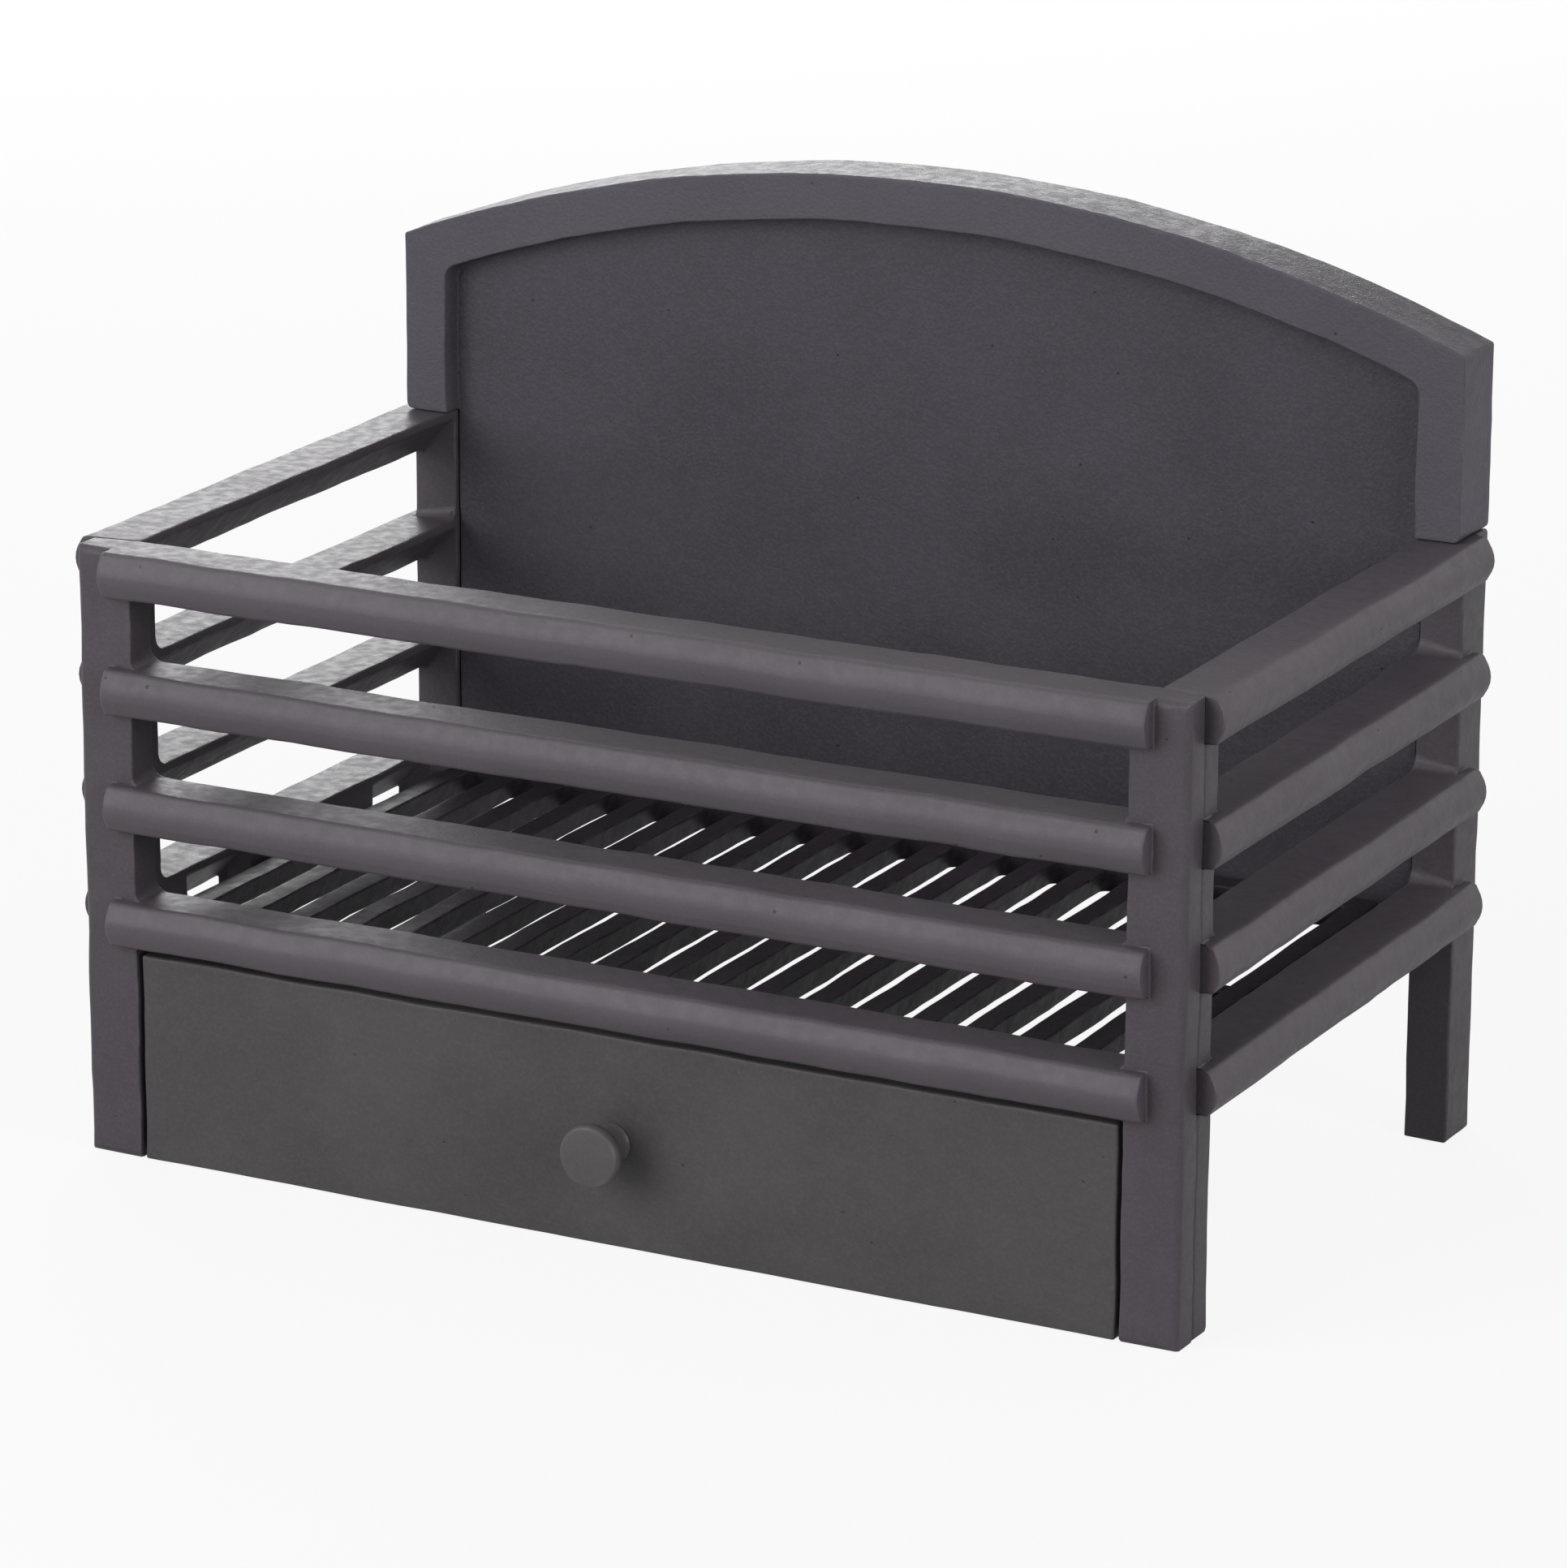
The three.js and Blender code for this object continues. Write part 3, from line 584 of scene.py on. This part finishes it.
# Radii and lengths of the knob, which stands on its foot
KNOB_RADIUS = 12.2 * MM
KNOB_FACE = 10.6 * MM
KNOB_NECK = 6 * MM
KNOB_NECK_LENGTH = 6 * MM
KNOB_FOOT = 7.5 * MM
KNOB_SHOULDER = 3.6 * MM  # face to the widest part
KNOB_HOLE = 2.8 * MM
KNOB_HOLE_DEPTH = 10 * MM
KNOB_CROWN = 0.5 * MM  # how far the middle of the knob's face stands out of its rim
KNOB_SEGMENTS = 72


def make_knob():
    low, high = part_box("knob")
    length = high.y - low.y
    widest = length - KNOB_SHOULDER
    between = (KNOB_NECK_LENGTH + widest) / 2
    profile = [(0.0, KNOB_HOLE_DEPTH), (KNOB_HOLE, KNOB_HOLE_DEPTH), (KNOB_HOLE, 0.0)]
    profile += [(KNOB_FOOT - ARRIS, 0.0), (KNOB_FOOT, ARRIS / 2)]
    profile += curve(
        [(KNOB_FOOT, ARRIS / 2), (KNOB_NECK, KNOB_NECK_LENGTH / 3), (KNOB_NECK, KNOB_NECK_LENGTH)], 6)
    swell = [(KNOB_NECK, KNOB_NECK_LENGTH), (KNOB_NECK, between)]
    swell += [(KNOB_RADIUS, between), (KNOB_RADIUS, widest)]
    profile += curve(swell, 14)
    rim = length - KNOB_CROWN
    profile += curve([(KNOB_RADIUS, widest), (KNOB_RADIUS, rim), (KNOB_FACE, rim)], 8)
    profile += curve([(KNOB_FACE, rim), (KNOB_FACE / 2, length), (0.0, length)], 6)
    bm = bmesh.new()
    add_turned(bm, profile, KNOB_SEGMENTS, facing_front("knob", high.y))
    middle = (low + high) / 2
    arris = bm.verts.layers.float.new("arris")
    proud = bm.verts.layers.float.new("proud")
    # The knob's face is painted paler as painted light, and the arris round its rim takes patches of
    # painted highlight.
    for vert in bm.verts:
        out = math.hypot(vert.co.x - middle.x, vert.co.z - middle.z)
        on_face = vert.co.y < high.y - widest
        vert[proud] = float(on_face)
        vert[arris] = float(on_face and out > KNOB_FACE)
    piece = turned_piece("knob_turning", bm)
    finish_piece(piece, "cover", "cover_iron", COVER_IRON, "knob")


# ---------------------------------------------------------------- fasteners

FIT_GAP = 0.3 * MM
WASHER_THICKNESS = 1.2 * MM
BOLT_RADIUS = 2.5 * MM
BOLT_FLATS = 8 * MM
BOLT_HEAD = 3.5 * MM
BOLT_LENGTH = 20 * MM
WASHER_RADIUS = 5 * MM
CHAMFER = 0.5 * MM
SCREW_RADIUS = 2.5 * MM
SCREW_HEAD_RADIUS = 4.8 * MM
SCREW_HEAD = 3 * MM
SCREW_SLOT_WIDTH = 1.2 * MM
SCREW_SLOT_DEPTH = 1.3 * MM
SHANK_SEGMENTS = 24
WASHER_SEGMENTS = 32
SCREW_SEGMENTS = 40


def washer_profile(hole, radius):
    """A washer's section, a fit gap off its seat, on the shank's side of it."""
    low = FIT_GAP
    high = FIT_GAP + WASHER_THICKNESS
    edge = CHAMFER / 2
    return [(hole, low), (radius - edge, low), (radius, low + edge), (radius, high - edge),
            (radius - edge, high), (hole, high), (hole, low)]


def make_fixing():
    """A hex bolt and its washer: the seat is at z = 0, the shank runs up and the head down."""
    bm = bmesh.new()
    across = BOLT_FLATS / 2 / math.cos(math.pi / 6)
    add_turned(bm, [(0.0, -BOLT_HEAD), (across - CHAMFER, -BOLT_HEAD), (across, CHAMFER - BOLT_HEAD),
                    (across, 0.0), (0.0, 0.0)], 6)
    add_turned(bm, [(0.0, -CHAMFER), (BOLT_RADIUS, -CHAMFER), (BOLT_RADIUS, BOLT_LENGTH - CHAMFER),
                    (BOLT_RADIUS - CHAMFER, BOLT_LENGTH), (0.0, BOLT_LENGTH)], SHANK_SEGMENTS)
    add_turned(bm, washer_profile(BOLT_RADIUS + FIT_GAP, WASHER_RADIUS), WASHER_SEGMENTS)
    return turned_piece("fixing", bm, FASTENER_SHARP)


def fixings_tree():
    """Puts a bolt with its washer at each seat, its shank along the seat's facing."""
    tree = bpy.data.node_groups.new("fixings", "GeometryNodeTree")
    face = tree.interface
    sockets = {
        name: face.new_socket(name, in_out="INPUT", socket_type=kind)
        for name, kind in (
            ("Seats", "NodeSocketGeometry"), ("Fixing", "NodeSocketObject"),
            ("Steel", "NodeSocketMaterial"),
        )
    }
    face.new_socket("Fixings", in_out="OUTPUT", socket_type="NodeSocketGeometry")
    given = node(tree, "NodeGroupInput").outputs
    facing = node(tree, "GeometryNodeInputNamedAttribute", {"Name": "facing"}, data_type="FLOAT_VECTOR")
    turn = node(tree, "FunctionNodeAlignRotationToVector", {"Vector": facing.outputs[0]}, axis="Z")
    fixing = node(tree, "GeometryNodeObjectInfo", {"Object": given["Fixing"]}).outputs["Geometry"]
    placed = node(tree, "GeometryNodeInstanceOnPoints", {
        "Points": given["Seats"], "Instance": fixing, "Rotation": turn.outputs[0],
    }).outputs[0]
    real = node(tree, "GeometryNodeRealizeInstances", {0: placed}).outputs[0]
    dressed = node(tree, "GeometryNodeSetMaterial", {"Geometry": real, "Material": given["Steel"]})
    node(tree, "NodeGroupOutput", {0: dressed.outputs[0]})
    return tree, {name: socket.identifier for name, socket in sockets.items()}


def make_basket_fixings():
    seats = []
    facings = []
    for name in BODY_FIXINGS:
        low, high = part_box(name)
        seat = (low + high) / 2
        if name.startswith("frame_bolt"):
            seat.y = high.y - BOLT_HEAD
            facings.append((0.0, -1.0, 0.0))
        elif "_left_" in name:
            seat.x = high.x - BOLT_HEAD
            facings.append((-1.0, 0.0, 0.0))
        else:
            seat.x = low.x + BOLT_HEAD
            facings.append((1.0, 0.0, 0.0))
        seats.append(seat + wander(seat))
    mesh = bpy.data.meshes.new("seats")
    mesh.from_pydata(seats, [], [])
    layer = mesh.attributes.new("facing", "FLOAT_VECTOR", "POINT")
    for i, facing in enumerate(facings):
        layer.data[i].vector = facing
    piece = new_piece("basket_fixings", mesh)
    fixing = make_fixing()
    tree, sockets = fixings_tree()
    place = piece.modifiers.new("fixings", "NODES")
    place.node_group = tree
    place[sockets["Fixing"]] = fixing
    place[sockets["Steel"]] = BLACK_STEEL
    settled(piece)
    bpy.data.objects.remove(fixing)
    washers = [name.replace("bolt", "washer") for name in BODY_FIXINGS]
    finish_piece(piece, "basket", "black_steel", BLACK_STEEL, *BODY_FIXINGS, *washers)


def make_knob_fixing():
    """The knob's screw with a slotted round head, and its washer, behind the ash cover."""
    low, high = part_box("knob_screw")
    seat = high.y - SCREW_HEAD
    length = seat - low.y
    place = facing_front("knob_screw", seat)
    screw = bmesh.new()
    flat = (SCREW_HEAD_RADIUS / 2, -SCREW_HEAD)
    profile = [(0.0, -SCREW_HEAD), flat]
    profile += curve([flat, (SCREW_HEAD_RADIUS, -SCREW_HEAD), (SCREW_HEAD_RADIUS, 0.0)], 8)
    profile += [(SCREW_RADIUS, 0.0), (SCREW_RADIUS, length - CHAMFER)]
    profile += [(SCREW_RADIUS - CHAMFER, length), (0.0, length)]
    add_turned(screw, profile, SCREW_SEGMENTS, place)
    piece = turned_piece("knob_fixing", screw)
    slot = bmesh.new()
    size = Matrix.Diagonal((4 * SCREW_HEAD_RADIUS, SCREW_SLOT_WIDTH, 2 * SCREW_SLOT_DEPTH, 1.0))
    top = Matrix.Translation((0.0, 0.0, -SCREW_HEAD))
    bmesh.ops.create_cube(slot, size=1.0, matrix=place @ top @ size)
    cutter = turned_piece("slot", slot)
    groove = piece.modifiers.new("slot", "BOOLEAN")
    groove.object = cutter
    groove.operation = "DIFFERENCE"
    groove.solver = "EXACT"
    settled(piece)
    bpy.data.objects.remove(cutter)
    bm = bmesh.new()
    bm.from_mesh(piece.data)
    add_turned(bm, washer_profile(SCREW_RADIUS + FIT_GAP, SCREW_HEAD_RADIUS), SCREW_SEGMENTS, place)
    bpy.data.objects.remove(piece)
    piece = turned_piece("knob_fixing", bm, FASTENER_SHARP)
    finish_piece(piece, "cover", "black_steel", BLACK_STEEL, "knob_screw", "knob_washer")


make_panels()
make_fireback()
make_ash_cover()
make_bottom_grate()
make_knob()
make_basket_fixings()
make_knob_fixing()


# ---------------------------------------------------------------- camera

CAMERA_PLACE = Vector((1.16477, -2.24036, 0.9053))
CAMERA_TURN = math.radians(27.382)  # round the object, towards +X
CAMERA_DIP = math.radians(16.750)
CAMERA_ROLL = math.radians(0.241)
CAMERA_LENS = 159.73  # millimetres, on a 36 mm sensor


def set_camera():
    ahead = Vector((
        -math.sin(CAMERA_TURN) * math.cos(CAMERA_DIP),
        math.cos(CAMERA_TURN) * math.cos(CAMERA_DIP),
        -math.sin(CAMERA_DIP),
    ))
    level = Vector((math.cos(CAMERA_TURN), math.sin(CAMERA_TURN), 0.0))
    upright = level.cross(ahead)
    right = level * math.cos(CAMERA_ROLL) + upright * math.sin(CAMERA_ROLL)
    up = upright * math.cos(CAMERA_ROLL) - level * math.sin(CAMERA_ROLL)
    data = bpy.data.cameras.new("camera")
    data.lens = CAMERA_LENS
    data.sensor_width = 36.0
    data.clip_start = 0.1
    data.clip_end = 50.0
    camera = bpy.data.objects.new("camera", data)
    bpy.context.scene.collection.objects.link(camera)
    turn = Matrix((right, up, -ahead)).transposed().to_4x4()
    camera.matrix_world = Matrix.Translation(CAMERA_PLACE) @ turn
    bpy.context.scene.camera = camera


# ---------------------------------------------------------------- studio

SKY_LIGHT = 0.31  # what the studio's white walls give the object
PLAIN_WHITE = 1.0  # what the camera and reflections see of them
FLOOR_WHITE = 0.88  # how much of the floor shows as plain white, over its shaded self
FLOOR_WHITE_IN_GLOSS = 0.2  # the same where it shows in the iron's gloss
FLOOR_PALE = 0.92
FLOOR_BOUNCE = 0.3  # its colour for the light that it throws back at the object
FLOOR_HALF = 6.0
FLOOR_ROUGHNESS = 0.9


def seen_directly(tree):
    """1 for what the camera, a reflection or a glass sees, 0 for light on its way to a surface."""
    path = node(tree, "ShaderNodeLightPath").outputs
    seen = computed(tree, path["Is Camera Ray"], path["Is Glossy Ray"], "MAXIMUM")
    return computed(tree, seen, path["Is Transmission Ray"], "MAXIMUM")


def set_studio():
    bpy.context.scene.view_settings.view_transform = "Standard"
    world = bpy.data.worlds.new("studio")
    bpy.context.scene.world = world
    world.use_nodes = True
    tree = world.node_tree
    tree.nodes.clear()
    strength = ranged(tree, seen_directly(tree), 0.0, 1.0, SKY_LIGHT, PLAIN_WHITE)
    sky = node(tree, "ShaderNodeBackground", {"Color": (1.0, 1.0, 1.0, 1.0), "Strength": strength})
    node(tree, "ShaderNodeOutputWorld", {"Surface": sky.outputs[0]})


def soft_box(name, place, target, size, power):
    data = bpy.data.lights.new(name, "AREA")
    data.shape = "RECTANGLE"
    data.size, data.size_y = size
    data.energy = power
    lamp = bpy.data.objects.new(name, data)
    bpy.context.scene.collection.objects.link(lamp)
    lamp.location = place
    lamp.rotation_euler = (Vector(target) - Vector(place)).to_track_quat("-Z", "Y").to_euler()


def lay_floor():
    mesh = bpy.data.meshes.new("floor")
    corners = [(x * FLOOR_HALF, y * FLOOR_HALF, 0) for x, y in ((-1, -1), (1, -1), (1, 1), (-1, 1))]
    mesh.from_pydata(corners, [], [(0, 1, 2, 3)])
    floor = bpy.data.objects.new("floor", mesh)
    bpy.context.scene.collection.objects.link(floor)
    material = bpy.data.materials.new("floor")
    material.use_nodes = True
    tree = material.node_tree
    shader = tree.nodes["Principled BSDF"]
    seen = seen_directly(tree)
    tree.links.new(ranged(tree, seen, 0.0, 1.0, FLOOR_BOUNCE, FLOOR_PALE), shader.inputs["Base Color"])
    shader.inputs["Roughness"].default_value = FLOOR_ROUGHNESS
    white = node(tree, "ShaderNodeEmission", {"Strength": PLAIN_WHITE})
    path = node(tree, "ShaderNodeLightPath").outputs
    in_gloss = computed(tree, path["Is Glossy Ray"], FLOOR_WHITE - FLOOR_WHITE_IN_GLOSS, "MULTIPLY")
    share = computed(tree, computed(tree, seen, FLOOR_WHITE, "MULTIPLY"), in_gloss, "SUBTRACT")
    mix = node(tree, "ShaderNodeMixShader", {0: share, 1: shader.outputs[0], 2: white.outputs[0]})
    tree.links.new(mix.outputs[0], tree.nodes["Material Output"].inputs["Surface"])
    mesh.materials.append(material)


set_camera()
set_studio()
soft_box("front_box", place=(-1.2, -2.05, 1.15), target=(0.0, 0.0, 0.15), size=(2.0, 1.9), power=34)
soft_box("back_box", place=(-1.9, 2.8, 1.1), target=(0.0, 0.0, 0.2), size=(2.4, 0.6), power=38)
soft_box("right_box", place=(2.4, -1.0, 0.95), target=(0.0, 0.0, 0.2), size=(1.4, 1.2), power=19)
lay_floor()
